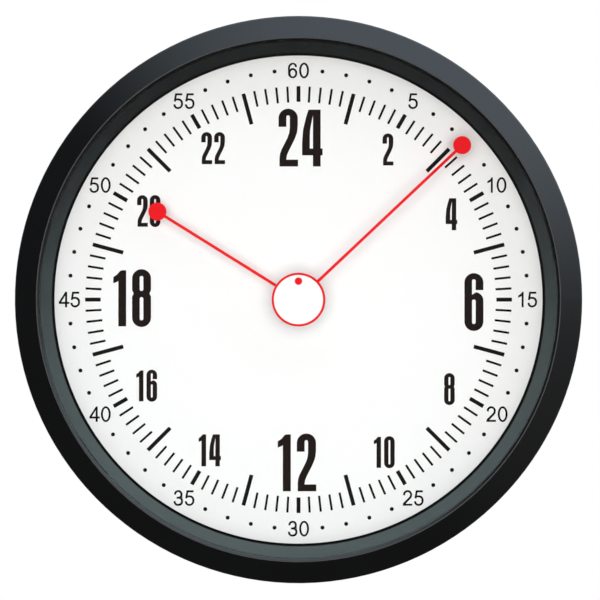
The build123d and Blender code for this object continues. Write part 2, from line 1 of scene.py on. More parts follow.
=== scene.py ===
# %% [markdown]
# # Dressing a 24-hour wall clock
# The solid parts of this clock come from a CAD model, which stays as it is. Blender adds what
# CAD leaves out: the print on the dial, the red paint on the seconds disc, the marks on the
# back, and a worked finish on every part. The reader learns three things on the way: how flat
# print is drawn with curves, how a finish is built from nodes, and how a studio for a black and
# white object is lit.

# %% Load the fixed frame
import json
from math import cos, pi, radians, sin

import bpy
from mathutils import Matrix, Vector


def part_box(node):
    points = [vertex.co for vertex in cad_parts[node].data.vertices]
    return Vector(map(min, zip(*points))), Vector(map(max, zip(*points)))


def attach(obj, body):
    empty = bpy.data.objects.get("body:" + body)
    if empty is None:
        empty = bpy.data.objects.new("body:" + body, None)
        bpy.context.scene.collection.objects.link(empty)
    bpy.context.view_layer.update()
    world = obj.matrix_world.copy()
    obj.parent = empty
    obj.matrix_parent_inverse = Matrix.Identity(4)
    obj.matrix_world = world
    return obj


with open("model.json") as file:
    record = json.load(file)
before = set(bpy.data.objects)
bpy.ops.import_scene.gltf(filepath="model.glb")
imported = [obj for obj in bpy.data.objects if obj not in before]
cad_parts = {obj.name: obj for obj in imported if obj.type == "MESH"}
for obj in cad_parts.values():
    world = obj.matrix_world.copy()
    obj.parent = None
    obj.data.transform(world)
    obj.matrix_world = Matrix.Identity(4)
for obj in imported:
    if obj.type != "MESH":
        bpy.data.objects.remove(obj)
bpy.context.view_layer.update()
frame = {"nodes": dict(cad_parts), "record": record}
nodes = frame["nodes"]

# %% [markdown]
# ## Heights and directions
# The wall is the plane Y = 0 and the dial faces -Y. It is easier to think in heights above
# the wall and in places on the dial, in millimetres, so two helpers turn those into metres.
# The heights are read from the parts themselves, so that hardly any is typed in twice.

# %% Places on the dial
MM = 0.001


def front(node):
    """How far a part reaches from the wall, in millimetres."""
    return -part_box(node)[0].y / MM


def place(x, z, height):
    """A point given in millimetres: right, up, and out from the wall."""
    return Vector((x * MM, -height * MM, z * MM))


dial_face = front("dial_plate")
disc_face = front("seconds_disc")
print("dial face at", round(dial_face, 2), "mm, seconds disc at", round(disc_face, 2), "mm")

# %% [markdown]
# ## Sums on shader sockets
# A finish is a small calculation: noise times a strength, plus a colour. Wiring Math nodes by
# hand hides that sum. A class that wraps a socket and overloads the operators lets the sum be
# written as a sum, and it adds the nodes itself.


# %% Signal, Graph and Finish
class Signal:
    """A shader socket that can be used in sums."""

    def __init__(self, graph, socket):
        self.graph, self.socket = graph, socket

    def maths(self, operation, *values):
        return self.graph.node("ShaderNodeMath", {"operation": operation}, *values)

    def __add__(self, other):
        return self.maths("ADD", self, other)

    def __sub__(self, other):
        return self.maths("SUBTRACT", self, other)

    def __rsub__(self, other):
        return self.maths("SUBTRACT", other, self)

    def __mul__(self, other):
        return self.maths("MULTIPLY", self, other)

    def __pow__(self, other):
        return self.maths("POWER", self, other)

    def __gt__(self, other):
        return self.maths("GREATER_THAN", self, other)

    __radd__, __rmul__ = __add__, __mul__


class Graph:
    """A node tree, with one method that adds any node."""

    def __init__(self, tree):
        self.tree = tree

    def node(self, kind, settings, *values, at=None, output=0, **named):
        """Adds a node: its settings first, then its sockets by order, by number or by name."""
        made = self.tree.nodes.new(kind)
        for setting, value in settings.items():
            setattr(made, setting, value)
        for key, value in [*enumerate(values), *(at or {}).items(), *named.items()]:
            self.feed(made.inputs[key.replace("_", " ") if isinstance(key, str) else key], value)
        return Signal(self, made.outputs[output])

    def feed(self, socket, value):
        if isinstance(value, Signal):
            self.tree.links.new(value.socket, socket)
        else:
            socket.default_value = value

    def smooth(self, value, low, high):
        """0 below low, 1 above high, and a soft step between them."""
        soft = {"interpolation_type": "SMOOTHSTEP"}
        return self.node("ShaderNodeMapRange", soft, value, low, high)


class Finish(Graph):
    """A material with one Principled shader."""

    def __init__(self, name, **fixed):
        self.material = bpy.data.materials.new(name)
        self.material.use_nodes = True
        super().__init__(self.material.node_tree)
        self.shader = self.tree.nodes["Principled BSDF"]
        self.point = self.node("ShaderNodeTexCoord", {}, output="Object")
        for socket, value in fixed.items():
            self.shader.inputs[socket.replace("_", " ")].default_value = value

    def set(self, **sockets):
        """Feeds the shader's own sockets."""
        for name, value in sockets.items():
            self.feed(self.shader.inputs[name.replace("_", " ")], value)
        return self

    def noise(self, size, detail=2.0):
        """Cloudy noise from 0 to 1 whose grain is about that many millimetres."""
        scale = 1 / (size * MM)
        return self.node("ShaderNodeTexNoise", {}, Vector=self.point, Scale=scale, Detail=detail)

    def between(self, low, high, amount):
        """A number that goes from low to high as amount goes from 0 to 1."""
        return low + (high - low) * amount

    def blend(self, amount, low, high):
        """A colour that goes from low to high as amount goes from 0 to 1."""
        low, high = [c if isinstance(c, Signal) else (*c, 1) for c in (low, high)]
        ends = {0: amount, 6: low, 7: high}
        return self.node("ShaderNodeMix", {"data_type": "RGBA"}, at=ends, output=2)

    def bumps(self, height, depth):
        """Relief from a height of 0 to 1, that many millimetres deep."""
        return self.node(
            "ShaderNodeBump", {}, Strength=1.0, Distance=depth * MM, Height=height, output="Normal"
        )


finishes = {}
print("shader helpers ready")

# %% [markdown]
# ## Black plastics
# The front rim is satin, the sloping ring inside the glass is polished, and the back has the
# fine spark texture of its mould. All three are black plastic, and what tells them apart is how
# rough they are and how deep the texture of the mould is. Two noises do that: a broad one that
# lets the gloss drift a little over a hand's breadth, and a fine one for the grain. The white
# and green parts inside the movement are moulded too, so they share the helper.


# %% Moulded plastics
PALER = 1.18


def moulded(name, colour, roughness, grain, depth, drift=0.04, level=0.5, **fixed):
    """Moulded plastic: grain is the size of its texture and depth its relief, in millimetres."""
    finish = Finish(name, Specular_IOR_Level=level, **fixed)
    fine, broad = finish.noise(grain, detail=3), finish.noise(45, detail=2)
    lighter = [c * PALER + 0.0006 for c in colour]
    finishes[name] = finish.set(
        Base_Color=finish.blend(broad, colour, lighter),
        Roughness=finish.between(roughness - drift, roughness + drift, broad * 0.7 + fine * 0.3),
        Normal=finish.bumps(fine, depth),
    )
    return finish


moulded("case_black", (0.0035, 0.0038, 0.0042), 0.27, 0.35, 0.0012, level=0.45)
ring = moulded("ring_black", (0.010, 0.012, 0.012), 0.07, 1.2, 0.0004, drift=0.02, IOR=1.045)
moulded("back_black", (0.0120, 0.0125, 0.0135), 0.52, 0.55, 0.030, level=0.4)
moulded("box_black", (0.0100, 0.0105, 0.0115), 0.40, 0.40, 0.012, level=0.4)
moulded("gasket", (0.006, 0.006, 0.006), 0.85, 0.25, 0.03, level=0.2)
moulded("rubber", (0.016, 0.016, 0.016), 0.72, 0.5, 0.02, level=0.3)
moulded("epoxy", (0.006, 0.006, 0.006), 0.16, 2.5, 0.05, level=0.5)
moulded("frame_natural", (0.62, 0.60, 0.53), 0.42, 0.6, 0.008)
moulded("wheel_white", (0.72, 0.71, 0.66), 0.38, 0.4, 0.005)
moulded("wheel_green", (0.10, 0.30, 0.19), 0.38, 0.4, 0.005)
print(len(finishes), "plastics")

# %% [markdown]
# ## Painted light and shade on the sloping ring
# The ring's lower half is painted greyer than its upper half: painted light, standing in for the
# light from above that falls on the lower wall. The height on the clock says how much is painted,
# a broad noise makes its border uneven, and a fine noise adds specks. At its foot, where the ring
# meets the dial, the ring is painted black: painted shade in the corner.

# %% Painted light and shade on the ring
RING_RADIUS = 0.133
height = ring.node("ShaderNodeSeparateXYZ", {}, ring.point, output="Z")
uneven = 0.5 * (ring.noise(26, detail=3) - 0.5)
# painted light: the lower half of the ring is painted lighter, from the near-black top to the slate
# grey below, with fine specks on it, as the light from above would show it
painted_light_lower = ring.smooth(height * (-1 / RING_RADIUS) + uneven, -0.85, 0.75)
film = ring.blend(painted_light_lower, (0.015, 0.017, 0.018), (0.082, 0.104, 0.106))
speck = ring.smooth(ring.noise(0.7, detail=4), 0.35, 0.75)
painted_light_colour = ring.blend(speck * 0.5 * painted_light_lower, film, (0.12, 0.14, 0.138))
# painted shade: below this band the ring is painted black, for the shadow where the ring meets the
# dial
foot_shade_start, foot_shade_end = dial_face + 1.9, dial_face + 2.9
depth = ring.node("ShaderNodeSeparateXYZ", {}, ring.point, output="Y")
painted_shade_foot = ring.smooth(depth * (-1 / MM), foot_shade_start, foot_shade_end)
ring.set(
    Base_Color=ring.blend(painted_shade_foot, (0.001, 0.001, 0.001), painted_light_colour),
    Roughness=ring.between(0.06, 0.20, painted_light_lower),
)
print("the ring's foot is black up to", round(foot_shade_start, 1), "mm")

# %% [markdown]
# ## Lacquers and inks
# The dial is aluminium under a matt white lacquer, and the hands and the seconds disc are
# painted too. A lacquer is nearly one colour. What the eye reads as paint is a faint cloud in
# the colour and the soft orange-peel of its surface, so both are there, kept very shallow. The
# inks mirror almost nothing, or they would look grey under the wide light in front.


# %% Painted surfaces
def painted(name, colour, roughness, cloud=0.02, peel=0.0015, **fixed):
    """Lacquer or ink: cloud is how far its colour drifts, peel the depth of its ripple."""
    finish = Finish(name, **fixed)
    drift, ripple = finish.noise(30, detail=3), finish.noise(1.4, detail=2)
    darker = [c * (1 - cloud) for c in colour]
    finishes[name] = finish.set(
        Base_Color=finish.blend(drift, darker, colour),
        Roughness=finish.between(roughness - 0.05, roughness + 0.05, ripple),
        Normal=finish.bumps(ripple, peel),
    )
    return finish


WHITE = (0.90, 0.90, 0.90)
ink = dict(cloud=0.15, peel=0.0008, Specular_IOR_Level=0.05)
dial = painted("dial_white", WHITE, 0.62, cloud=0.008, Specular_IOR_Level=0.2)
painted("disc_white", WHITE, 0.50, cloud=0.01, Specular_IOR_Level=0.2)
painted("hand_red", (0.80, 0.006, 0.011), 0.38, cloud=0.03, Specular_IOR_Level=0.06)
painted("ink_black", (0.011, 0.0055, 0.0045), 0.55, **ink)
painted("ink_fine", (0.006, 0.004, 0.004), 0.55, **ink)
print(len(finishes), "finishes so far")

# %% [markdown]
# ## Painted shade at the edge of the dial
# The dial is painted a little darker towards its edge: painted shade, added to the real shade that
# the deep wall round it casts. How far a point is from the clock's axis is the length of its
# vector once its height is taken out, and a soft step on that distance fades the white to a
# pale grey.

# %% Painted shade at the dial's edge
fade_start, fade_end = 0.101, 0.118
flat = dial.node("ShaderNodeVectorMath", {"operation": "MULTIPLY"}, dial.point, (1, 0, 1))
radius = dial.node("ShaderNodeVectorMath", {"operation": "LENGTH"}, flat, output="Value")
painted_shade_edge = dial.smooth(radius, fade_start, fade_end)
# painted shade: the pale grey that the dial's edge is painted towards
dial.set(Base_Color=dial.blend(painted_shade_edge, WHITE, (0.838, 0.838, 0.838)))
print("the dial fades from", fade_start / MM, "to", fade_end / MM, "mm")

# %% [markdown]
# ## Metals
# Sheet steel shows the direction it was rolled in, and copper wire on the coil lies in turns.
# Stretching one noise along an axis gives both. Steel dipped in zinc shows flat crystals, which
# are the cells of a Voronoi texture, each a little lighter or rougher than the next.


# %% Metals
def metal(name, colour, roughness, grain=(0.3, 0.3, 6.0), tint=0.12, depth=0.002):
    """Metal whose grain is stretched: grain is its size along X, Y and Z, in millimetres."""
    finish = Finish(name, Metallic=1.0)
    stretched = finish.node(
        "ShaderNodeMapping", {"vector_type": "POINT"}, Vector=finish.point,
        Scale=tuple(1 / (g * MM) for g in grain),
    )
    lines = finish.node("ShaderNodeTexNoise", {}, Vector=stretched, Scale=1.0, Detail=3.0)
    stain = finish.noise(7, detail=3)
    finishes[name] = finish.set(
        Base_Color=finish.blend(stain, [c * (1 - tint) for c in colour], colour),
        Roughness=finish.between(roughness - 0.07, roughness + 0.07, lines * 0.6 + stain * 0.4),
        Normal=finish.bumps(lines, depth),
    )
    return finish


zinc = metal("zinc_steel", (0.44, 0.45, 0.47), 0.34)
cells = {"Vector": zinc.point, "Scale": 1 / (2.6 * MM)}
spangle = zinc.node("ShaderNodeTexVoronoi", {}, **cells, output="Color")
flake = zinc.node("ShaderNodeSeparateColor", {}, spangle)
zinc.set(
    Base_Color=zinc.blend(flake, (0.34, 0.35, 0.37), (0.52, 0.53, 0.55)),
    Roughness=zinc.between(0.28, 0.46, flake),
)
metal("iron", (0.36, 0.36, 0.37), 0.42)
metal("magnet", (0.10, 0.10, 0.11), 0.55, grain=(0.3, 0.3, 0.3))
metal("tin", (0.70, 0.71, 0.73), 0.22)
metal("spring", (0.66, 0.64, 0.60), 0.25)
metal("copper", (0.72, 0.27, 0.11), 0.35, grain=(0.12, 8.0, 8.0), depth=0.03)
print(len(finishes), "finishes so far")

# %% [markdown]
# ## Brass with the ridges of a thread
# The nut and the neck that hold the movement are brass. A sine along the clock's axis gives the
# shallow ridges of the thread.

# %% Brass
THREAD_PITCH = 0.75
brass = metal("brass", (0.70, 0.47, 0.16), 0.26, grain=(0.4, 0.15, 0.4))
along = brass.node("ShaderNodeSeparateXYZ", {}, brass.point, output="Y")
ridges = along.maths("SINE", along * (2 * pi / (THREAD_PITCH * MM)))
brass.set(Normal=brass.bumps(ridges, 0.01))
print("thread ridges every", THREAD_PITCH, "mm")

# %% [markdown]
# ## Flat print as filled curves
# The numerals are ink, a few hundredths of a millimetre thick. They could be an image, but a
# shape stays sharp at any size and can be seen from the side. Each numeral is drawn as a flat
# closed curve: straight runs, with corners rounded to a radius of their own. A curve inside
# another is a hole. Blender fills a flat curve by itself, so it is then made a mesh, given a
# little thickness, and stood up on the dial.


# %% Rounded outlines
STRAIGHT, ARC_STEP = 0.02, 0.16  # radians


def rounded(*corners):
    """Points of a closed outline whose corners are (x, z) or (x, z, radius)."""
    radii = [c[2] if len(c) > 2 else 0 for c in corners]
    corners = [Vector((*c[:2], 0)) for c in corners]
    points = []
    for i, (corner, radius) in enumerate(zip(corners, radii)):
        before, after = corners[i - 1] - corner, corners[(i + 1) % len(corners)] - corner
        turn = pi - before.angle(after)
        if not radius or turn < STRAIGHT:
            points.append(corner)
            continue
        reach = radius * sin(turn / 2) / cos(turn / 2)
        start = corner + before.normalized() * reach
        inward = before.normalized() + after.normalized()
        centre = corner + inward.normalized() * radius / cos(turn / 2)
        steps = max(2, int(turn / ARC_STEP))
        spin = turn if before.cross(after).z < 0 else -turn
        points += [centre + Matrix.Rotation(spin * k / steps, 3, "Z") @ (start - centre)
                   for k in range(steps + 1)]
    return points


def oval(x, z, half_width, half_height, count=40):
    """Points of an ellipse."""
    turns = [2 * pi * k / count for k in range(count)]
    return [Vector((x + half_width * cos(t), z + half_height * sin(t), 0)) for t in turns]


def grown(outline, by):
    """The outline pushed out by a distance, or pulled in where that is negative."""
    last, following = outline[-1:] + outline, outline[1:] + outline[:1]
    sides = [(a - b, c - a) for a, b, c in zip(outline, last, following)]
    side = 1 if sum(before.cross(after).z for before, after in sides) > 0 else -1
    moved = []
    for point, (before, after) in zip(outline, sides):
        before, after = before.normalized(), after.normalized()
        out = Vector((before.y + after.y, -before.x - after.x, 0)).normalized()
        slant = max(0.5, out.dot(Vector((before.y, -before.x, 0))))
        moved.append(point + out * (side * by / slant))
    return moved


def drawn(name, *outlines):
    """A flat filled mesh in the XY plane, in millimetres, from closed outlines."""
    bpy.ops.object.select_all(action="DESELECT")
    bpy.ops.curve.primitive_bezier_circle_add(radius=1)
    shape = bpy.context.object
    shape.name = name
    shape.data.dimensions, shape.data.fill_mode = "2D", "BOTH"
    shape.data.splines.clear()
    for outline in outlines:
        spline = shape.data.splines.new("POLY")
        spline.points.add(len(outline) - 1)
        for point, there in zip(spline.points, outline):
            point.co = (there.x, there.y, 0, 1)
        spline.use_cyclic_u = True
    bpy.ops.object.convert(target="MESH")
    return bpy.context.object


print("a rounded square has", len(rounded((0, 0, 1), (4, 0, 1), (4, 4, 1), (0, 4, 1))), "points")

# %% [markdown]
# ## The bold hour numerals
# A condensed grotesque: every numeral is 30 mm tall, 10 mm wide, and its strokes are 4 mm.
# Round ones overshoot a little at the top and the bottom, or they would look small. The small
# numerals are the same drawings at a smaller size.

# %% Numerals of the hours
def counter(low, high, left=3.98, right=6.05, radius=1.0):
    """The narrow slit inside a bold numeral."""
    corners = ((left, low), (right, low), (right, high), (left, high))
    return rounded(*[(*corner, radius) for corner in corners])


bold = {
    "0": [rounded((0, -0.35, 5), (10.05, -0.35, 5), (10.05, 30.6, 5), (0, 30.6, 5)),
          counter(3.1, 27.1)],
    "1": [rounded((2.7, 0), (6.8, 0), (6.8, 30), (3.8, 30, 2), (2.0, 27.7, 3), (0, 26.4), (0, 23.2),
                  (2.0, 23.9, 2), (2.7, 24.5))],
    "2": [rounded((0, 21), (0, 30.5, 5), (10.05, 30.5, 5), (10.05, 17.7, 15), (4.05, 5.7, 8.5),
                  (4.0, 3.5), (10.2, 3.5), (10.2, 0), (0.5, 0), (0.5, 6.8, 10), (5.95, 17.5, 12),
                  (5.95, 27.1, 0.95), (4.0, 27.1, 0.95), (4.0, 21))],
    "4": [rounded((0, 5.9), (0, 19.5, 45), (3.4, 30), (9.7, 30), (9.7, 9.4), (10.75, 9.4),
                  (10.75, 5.9), (9.7, 5.9), (9.7, 0), (5.75, 0), (5.75, 5.9)),
          rounded((5.75, 9.4), (5.75, 27.0), (3.98, 19.6, 28), (3.98, 9.4))],
    "6": [rounded((10.1, 21.7), (10.1, 30.7, 5), (0, 30.7, 5), (0, -0.35, 5), (10.1, -0.35, 5),
                  (10.1, 20.4, 4.4), (6.2, 20.4, 1.8), (3.98, 19.0), (3.98, 27.5, 1),
                  (6.05, 27.5, 1), (6.05, 21.7)),
          counter(3.3, 16.6)],
    "8": [rounded((0, 30.6, 5), (10.05, 30.6, 5), (10.05, 19.4, 1.6), (9.2, 17.6, 0.3),
                  (10.05, 15.9, 1.6), (10.05, -0.35, 5), (0, -0.35, 5), (0, 15.9, 1.6),
                  (0.85, 17.6, 0.3), (0, 19.4, 1.6)),
          counter(3.1, 15.7), counter(18.9, 27.1)],
}
print("numerals drawn:", *bold)

# %% [markdown]
# ## The light minute numerals
# The outer ring counts minutes in a light grotesque, drawn the same way, 7.7 mm tall and with
# strokes of 0.7 mm. They stand upright all round the dial, so they aren't turned.

# %% Numerals of the minutes
light = {
    "0": [oval(2.35, 3.85, 2.3, 3.95), oval(2.35, 3.85, 1.58, 3.25)],
    "1": [rounded((2.95, 0), (3.67, 0), (3.67, 7.7), (3.2, 7.7), (2.6, 6.7, 1), (1.15, 5.75),
                  (1.15, 5.0), (2.3, 5.5, 1), (2.95, 6.05))],
    "2": [rounded((0.25, 5.45), (0.25, 7.8, 2.15), (4.62, 7.8, 2.15), (4.62, 4.4, 2.6),
                  (1.15, 0.72), (4.7, 0.72), (4.7, 0), (0, 0), (0.3, 1.2), (3.88, 4.7, 2.2),
                  (3.88, 7.08, 1.45), (0.98, 7.08, 1.45), (0.98, 5.38))],
    "3": [rounded((0.35, 5.75), (0.35, 7.8, 1.95), (4.4, 7.8, 1.9), (4.4, 4.25, 1.2),
                  (3.6, 4.0, 0.3), (4.7, 3.75, 1.3), (4.7, -0.1, 2.1), (0.1, -0.1, 2.1),
                  (0.1, 2.1), (0.83, 2.15), (0.83, 0.62, 1.4), (3.97, 0.62, 1.5),
                  (3.97, 3.62, 1.35), (1.7, 3.62), (1.7, 4.33), (3.67, 4.33, 1.3),
                  (3.67, 7.08, 1.3), (1.08, 7.08, 1.3), (1.08, 5.85))],
    "4": [rounded((3.0, 0), (3.72, 0), (3.72, 1.75), (4.75, 1.75), (4.75, 2.45), (3.72, 2.45),
                  (3.72, 7.7), (3.12, 7.7), (0, 2.5), (0, 1.75), (3.0, 1.75)),
          rounded((3.0, 2.45), (0.78, 2.45), (3.0, 6.2))],
    "5": [rounded((0.95, 7.7), (4.3, 7.7), (4.3, 6.98), (1.55, 6.98), (1.2, 4.8), (1.6, 5.05, 0.5),
                  (4.7, 5.05, 2.2), (4.7, -0.1, 2.4), (0.1, -0.1, 2.1), (0.1, 2.0), (0.83, 2.05),
                  (0.83, 0.62, 1.4), (3.95, 0.62, 1.6), (3.95, 4.35, 1.6), (1.2, 4.35, 0.5),
                  (0.98, 3.75), (0.3, 3.85))],
    "6": [rounded((3.83, 5.85), (4.53, 5.75), (4.45, 7.8, 2.1), (0.15, 7.8, 2.6), (0.15, -0.1, 2.5),
                  (4.65, -0.1, 2.3), (4.65, 4.95, 2.3), (1.6, 4.95, 1.2), (0.87, 3.95),
                  (0.87, 7.1, 1.9), (3.8, 7.1, 1.3)),
          oval(2.5, 2.42, 1.42, 1.82)],
}
for digit, wider in (("0", 1.05), ("4", 1.07)):
    light[digit] = [[Vector((p.x * wider, p.y, 0)) for p in outline] for outline in light[digit]]
print("numerals drawn:", *light)

# %% [markdown]
# ## Setting the print on the dial
# A numeral is its digits side by side, moved so that the middle of its own box is where it
# belongs. The outlines of one kind of print go into one curve: the bold numerals in one, and the
# fine ink in one curve each for the ticks, the dots, the dark edge line of painted shade and the
# minute numerals. The plate is printed in one pass for the bold numerals and one for the fine ones.


# %% Numerals and print
SUNK = 0.01  # how far the back of a film lies inside its face, in millimetres


def numeral(text, digits, steps, x, z, height, weight):
    """Outlines of a number whose middle is at x and z; weight is added all round its strokes."""
    outlines, pen = [], 0.0
    for digit in text:
        for i, outline in enumerate(digits[digit]):
            bolder = grown(outline, -weight if i else weight)
            outlines.append([p + Vector((pen, 0, 0)) for p in bolder])
        pen += steps.get(digit, steps["step"])
    every = [p for outline in outlines for p in outline]
    low = Vector((min(p.x for p in every), min(p.y for p in every), 0))
    high = Vector((max(p.x for p in every), max(p.y for p in every), 0))
    size, middle = height / (high.y - low.y), (low + high) / 2
    return [[(p - middle) * size + Vector((x, z, 0)) for p in outline] for outline in outlines]


def printed(name, outlines, finish, body, height, thickness=0.04, behind=False):
    """A film of ink on a flat face that is that many millimetres above the wall.

    On a face that looks at the wall, the outlines are as seen from behind.
    """
    film = drawn(name, *outlines)
    stand = Matrix.Rotation(pi / 2, 4, "X") @ Matrix.Scale(MM, 4)
    if behind:
        stand = Matrix.Rotation(pi, 4, "Z") @ stand
    sunk = SUNK if behind else -SUNK
    film.data.transform(Matrix.Translation(place(0, 0, height + sunk)) @ stand)
    solidify = film.modifiers.new("thickness", "SOLIDIFY")
    solidify.thickness, solidify.offset = thickness * MM, 1.0
    bpy.ops.object.modifier_apply(modifier=solidify.name)
    dress(film, finish, body)


def dress(piece, finish, body):
    """Gives a piece its finish and the body that it moves with."""
    piece.data.materials.clear()
    piece.data.materials.append(finishes[finish].material)
    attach(piece, body)
    print(piece.name, "has", len(piece.data.polygons), "faces")


# %% [markdown]
# ## Where the hour numerals stand
# The dial counts 24 hours, and 24 is at the top. The numerals aren't on one exact circle. Each
# is set in the space it has, so each has its own place in the table.

# %% The hours
tall, small = 30.7, 17.0
weights = {tall: 0.07, small: 0.17}
bold_steps = {"step": 12.2, "1": 10.1, "2": 12.45}
hours = {
    "24": (1.1, 86.0, tall), "6": (93.1, -1.3, tall),
    "12": (-0.8, -86.4, tall), "18": (-88.3, 0.8, tall),
    "2": (47.5, 79.7, small), "4": (81.2, 45.3, small), "8": (80.1, -47.5, small),
    "10": (45.5, -81.0, small), "14": (-47.1, -80.0, small), "16": (-80.6, -45.7, small),
    "20": (-79.5, 47.0, small), "22": (-45.3, 80.4, small),
}
outlines = [
    o for text, (x, z, height) in hours.items()
    for o in numeral(text, bold, bold_steps, x, z, height, weights[height])
]
printed("hour_numerals", outlines, "ink_black", "case", dial_face)

# %% [markdown]
# ## Ticks and dots
# A tick is a thin bar with barely rounded corners. There is one every 3 degrees, a thicker one
# every 15, and every second one of those is longer. Outside them, between the minute numerals,
# lie small dots. A thin dark ring of ink at the dial's edge is painted shade, the shadow of the
# seam where the sloping ring meets the dial.


# %% The minute ring
def around(angle, distance):
    """A point of the dial at an angle clockwise from twelve."""
    return distance * sin(radians(angle)), distance * cos(radians(angle))


def tick(angle, inner, outer, width):
    """The outline of a bar that points at the middle of the dial."""
    half, soft = width / 2, 0.1
    corners = ((-half, inner), (half, inner), (half, outer), (-half, outer))
    turned = Matrix.Rotation(-radians(angle), 3, "Z")
    return [turned @ p for p in rounded(*[(*corner, soft) for corner in corners])]


def circle(radius, count):
    """Points of a circle round the middle of the dial."""
    return oval(0, 0, radius, radius, count)


long_tick, short_tick, thin_tick = (96.3, 113.1, 2.1), (105.0, 113.3, 2.1), (104.7, 113.2, 1.2)
ticks = [
    tick(angle, *{0: short_tick, 15: long_tick}.get(angle % 30, thin_tick))
    for angle in range(0, 360, 3)
]
dot_circle, dot_radius = 121.7, 1.08
dots = [
    oval(*around(angle, dot_circle), dot_radius, dot_radius, 20)
    for angle in range(0, 360, 6) if angle % 30
]
minute_circle, minute_height, minute_weight = 121.6, 8.4, 0.17
minutes = [
    o for k in range(12)
    for o in numeral(
        str(5 * k or 60), light, {"step": 5.9}, *around(30 * k, minute_circle), minute_height,
        minute_weight,
    )
]
printed("minute_ticks", ticks, "ink_fine", "case", dial_face)
printed("minute_dots", dots, "ink_fine", "case", dial_face)
# painted shade: a thin dark ring of ink where the sloping ring meets the dial, for the shadow of
# that seam
painted_shade_line = [circle(130.04, 360), circle(129.5, 360)]
printed("dial_painted_shade_line", painted_shade_line, "ink_fine", "case", dial_face)
printed("minute_numerals", minutes, "ink_fine", "case", dial_face)

# %% [markdown]
# ## The red edge and dot of the seconds disc
# The rim of the seconds disc is painted red, over its corner and down its edge, and a red dot
# near the rim shows the seconds. The paint on the rim is a thin band wrapped round the edge: a
# circle is drawn out ring by ring along the band's outline, and its last ring is merged with
# its first. White lacquer covers the rest of the face, and the end of the shaft with it.


# %% Seconds disc paint
def lathe(name, outline):
    """A closed ring round the clock's axis, from the radius and height of its outline's corners."""
    bpy.ops.object.select_all(action="DESELECT")
    (radius, height), *rest = outline
    bpy.ops.mesh.primitive_circle_add(
        vertices=160, radius=radius * MM, location=place(0, 0, height), rotation=(pi / 2, 0, 0),
    )
    band = bpy.context.object
    band.name = name
    bpy.ops.object.transform_apply(location=True, rotation=True)
    bpy.ops.object.mode_set(mode="EDIT")
    bpy.ops.mesh.select_all(action="SELECT")
    for wider, higher in [*rest, outline[0]]:
        factor = wider / radius
        rise = {"value": (0, (height - higher) * MM, 0)}
        bpy.ops.mesh.extrude_edges_move(TRANSFORM_OT_translate=rise)
        bpy.ops.transform.resize(value=(factor, 1, factor), center_override=(0, 0, 0))
        radius, height = wider, higher
    bpy.ops.mesh.select_all(action="SELECT")
    bpy.ops.mesh.remove_doubles(threshold=1e-6)
    bpy.ops.mesh.normals_make_consistent(inside=False)
    bpy.ops.object.mode_set(mode="OBJECT")
    bpy.ops.object.shade_smooth_by_angle(angle=radians(35))
    return band


disc_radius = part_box("seconds_disc")[1].x / MM
print("seconds disc radius", round(disc_radius, 1), "mm")
seconds_rim = lathe("seconds_rim", [
    (disc_radius - 1.25, disc_face - 0.01), (disc_radius - 1.2, disc_face + 0.03),
    (disc_radius - 0.12, disc_face + 0.03), (disc_radius + 0.03, disc_face - 0.12),
    (disc_radius + 0.03, disc_face - 0.45), (disc_radius - 0.01, disc_face - 0.46),
    (disc_radius - 0.02, disc_face - 0.17), (disc_radius - 0.17, disc_face - 0.01),
])
dress(seconds_rim, "hand_red", "seconds_arbor")

# %% Seconds disc lacquer and dot
dot_height, dot_size = 9.75, 2.0
lacquer, dot = circle(disc_radius - 1.0, 120), oval(0, dot_height, dot_size, dot_size)
printed("disc_lacquer", [lacquer], "disc_white", "seconds_arbor", disc_face, 0.03)
printed("seconds_dot", [dot], "hand_red", "seconds_arbor", disc_face, 0.05)

# %% [markdown]
# ## Marks on the back
# White marks on the movement show which way the cell goes in, and the two arrows by the knob say
# that it may be turned either way. A mould leaves its own signs too: round marks, a little proud
# of the panel, are where pins pushed the case out. All of them are drawn like the print, and the
# pin marks are only thicker.

# %% Where the marks go
PANEL_THICKNESS = 2.2
panel_back = -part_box("dial_plate")[1].y / MM - PANEL_THICKNESS
box_back = -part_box("movement_box")[1].y / MM
cell_low, cell_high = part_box("battery")
knob_low, knob_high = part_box("setting_knob")
knob_x, knob_z = -(knob_low.x + knob_high.x) / 2 / MM, (knob_low.z + knob_high.z) / 2 / MM
print("box back at", round(box_back, 2), "mm, knob at", round(knob_x, 1), round(knob_z, 1))


# %% Polarity and arrows
def bar(x, z, half_width, half_height):
    """The outline of a small bar with soft corners."""
    low, high = (x - half_width, z - half_height), (x + half_width, z + half_height)
    return rounded((*low, 0.2), (high[0], low[1], 0.2), (*high, 0.2), (low[0], high[1], 0.2))


def arrow(x, z, radius, start, end, half_width=0.35):
    """An arc round a place, with a head at its end; angles are clockwise from the top."""
    count = 16
    step = radians(end - start) / count
    turns = [radians(start) + step * k for k in range(count + 1)]
    outer = [(radius + half_width, t) for t in turns]
    inner = [(radius - half_width, t) for t in reversed(turns)]
    wing, last = 1.2, turns[-1]
    head = [(radius + wing, last), (radius, last + 3 * step), (radius - wing, last)]
    return [Vector((x + r * sin(t), z + r * cos(t), 0)) for r, t in outer + head + inner]


